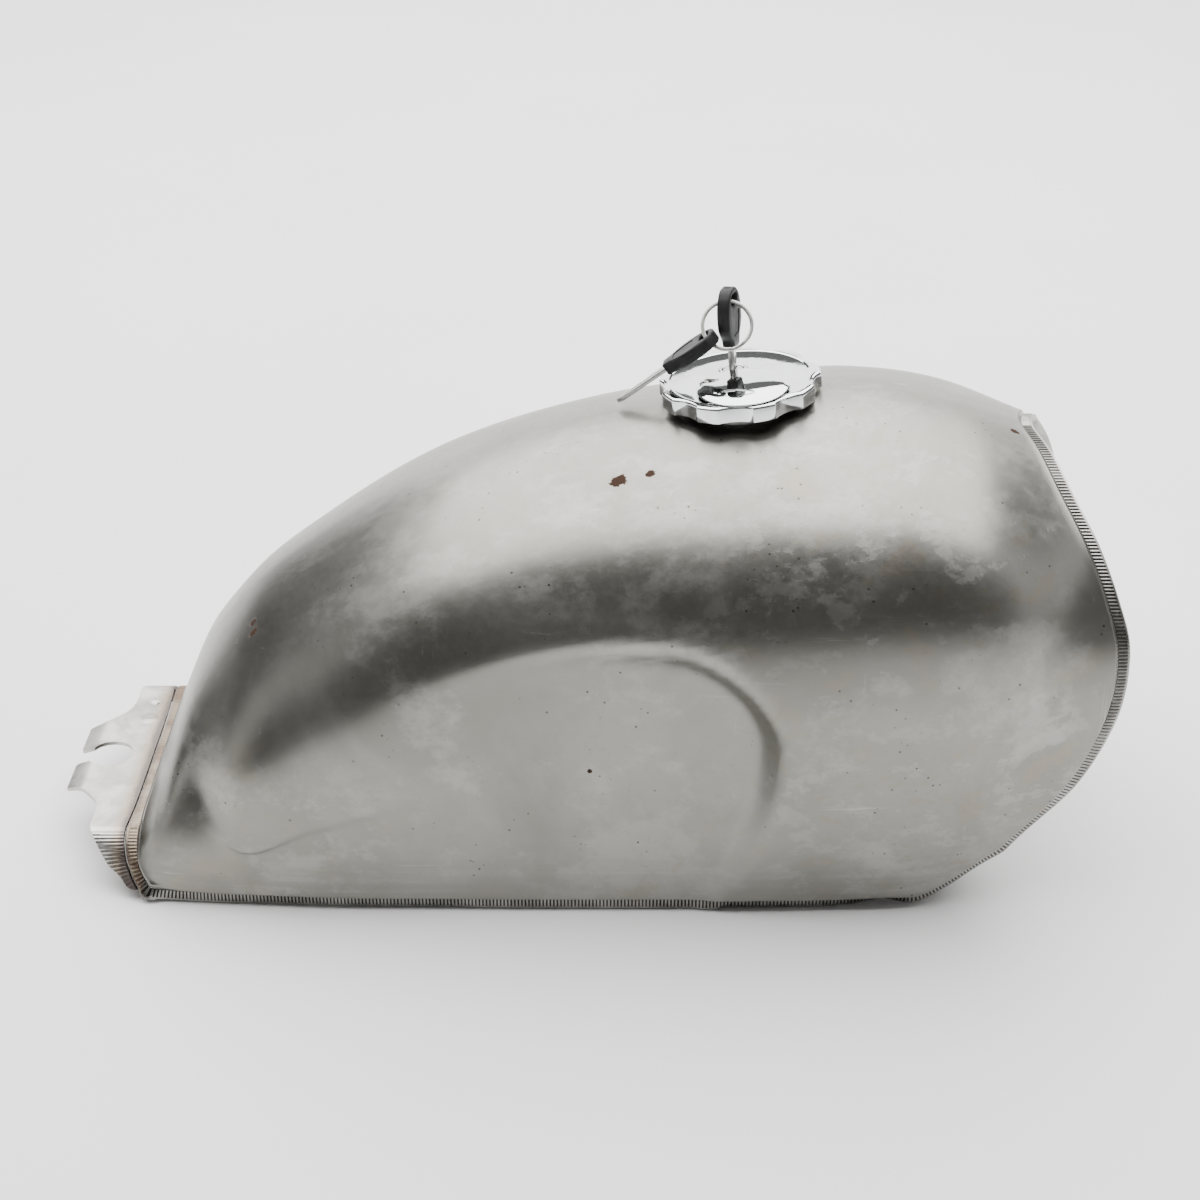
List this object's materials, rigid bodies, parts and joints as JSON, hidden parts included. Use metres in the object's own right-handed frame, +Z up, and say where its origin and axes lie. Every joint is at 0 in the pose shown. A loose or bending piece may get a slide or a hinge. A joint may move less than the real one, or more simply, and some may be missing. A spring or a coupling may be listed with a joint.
{
  "type": "motorcycle fuel tank",
  "caption": "Bare steel motorcycle fuel tank with knee dents, a rear slotted bracket, a frame tunnel underneath and a locking bayonet filler cap with keys on a ring.",
  "frame": {"origin": "middle of the bounding box at its bottom, on the plane the seam stands on", "axes": "+X to the front of the motorcycle, +Y to its left, +Z up"},
  "size_m": [0.5399, 0.2506, 0.292],
  "materials": {
    "left_shell": "bare satin steel sheet, patchy polish",
    "right_shell": "bare satin steel sheet, patchy polish",
    "tunnel_pan": "bare pressed steel sheet",
    "rear_mount_bracket": "bare steel plate with heat tint at the weld",
    "filler_neck": "turned steel",
    "bolt_keeper": "steel",
    "bayonet_plate": "zinc plated steel",
    "bayonet_screw_1": "zinc plated steel",
    "bayonet_screw_2": "zinc plated steel",
    "cap_body": "mirror chrome",
    "seal_plate": "zinc plated steel",
    "cap_gasket": "black rubber",
    "wave_spring": "spring steel",
    "keyhole_cover": "mirror chrome",
    "cover_rivet": "steel",
    "lock_housing": "chrome",
    "lock_barrel": "brass, dulled",
    "lock_bolt": "brass",
    "key_head": "black moulded plastic",
    "key_blade": "nickel plated steel",
    "key_ring": "nickel plated steel wire",
    "spare_key_head": "black moulded plastic",
    "spare_key_blade": "nickel plated steel",
    "front_mount_cup_left": "pressed steel",
    "front_mount_cup_right": "pressed steel",
    "crossover_spigot_left": "brass",
    "crossover_spigot_right": "brass",
    "petcock_boss": "turned steel"
  },
  "bodies": {
    "tank": {"left_shell": "left_shell", "right_shell": "right_shell", "tunnel_pan": "tunnel_pan", "rear_mount_bracket": "rear_mount_bracket", "filler_neck": "filler_neck", "bolt_keeper": "bolt_keeper", "front_mount_cup_left": "front_mount_cup_left", "front_mount_cup_right": "front_mount_cup_right", "crossover_spigot_left": "crossover_spigot_left", "crossover_spigot_right": "crossover_spigot_right", "petcock_boss": "petcock_boss"},
    "seal": {"seal_plate": "seal_plate", "cap_gasket": "cap_gasket", "wave_spring": "wave_spring"},
    "cap": {"cap_body": "cap_body", "bayonet_plate": "bayonet_plate", "bayonet_screw_1": "bayonet_screw_1", "bayonet_screw_2": "bayonet_screw_2", "cover_rivet": "cover_rivet", "lock_housing": "lock_housing"},
    "cover": {"keyhole_cover": "keyhole_cover"},
    "barrel": {"lock_barrel": "lock_barrel"},
    "bolt": {"lock_bolt": "lock_bolt"},
    "key": {"key_head": "key_head", "key_blade": "key_blade"},
    "ring": {"key_ring": "key_ring"},
    "spare_key": {"spare_key_head": "spare_key_head", "spare_key_blade": "spare_key_blade"}
  },
  "joints": [
    {"name": "cap_lift", "type": "slide", "parent": "tank", "child": "seal", "axis": [-0.0958, 0, 0.9954], "range_m": [0, 0.06]},
    {"name": "cap_turn", "type": "hinge", "parent": "seal", "child": "cap", "pos_m": [0.0828, 0, 0.2496], "axis": [-0.0958, 0, 0.9954], "range_deg": [-80, 0]},
    {"name": "cover_swing", "type": "hinge", "parent": "cap", "child": "cover", "pos_m": [0.06538, -0.0093, 0.24792], "axis": [-0.0958, 0, 0.9954], "range_deg": [-75, 1]},
    {"name": "key_turn", "type": "hinge", "parent": "cap", "child": "barrel", "pos_m": [0.08031, 0.011, 0.24936], "axis": [-0.0958, 0, 0.9954], "range_deg": [-90, 0]},
    {"name": "bolt_slide", "type": "slide", "parent": "cap", "child": "bolt", "axis": [0, 1, 0], "range_m": [0, 0.005]},
    {"name": "key_pull", "type": "slide", "parent": "barrel", "child": "key", "axis": [-0.0958, 0, 0.9954], "range_m": [0, 0.04]},
    {"name": "ring_turn", "type": "hinge", "parent": "key", "child": "ring", "pos_m": [0.07624, 0.00389, 0.27495], "axis": [-0.0563, -0.809, 0.5851], "range_deg": [-40, 0]},
    {"name": "spare_swing", "type": "hinge", "parent": "ring", "child": "spare_key", "pos_m": [0.06665, 0.00001, 0.26867], "axis": [0.6072, -0.493, -0.6232], "range_deg": [-20, 0]}
  ],
  "couplings": [
    {"joint": "bolt_slide", "follows": "key_turn", "m_per_rad": -0.0031831}
  ]
}
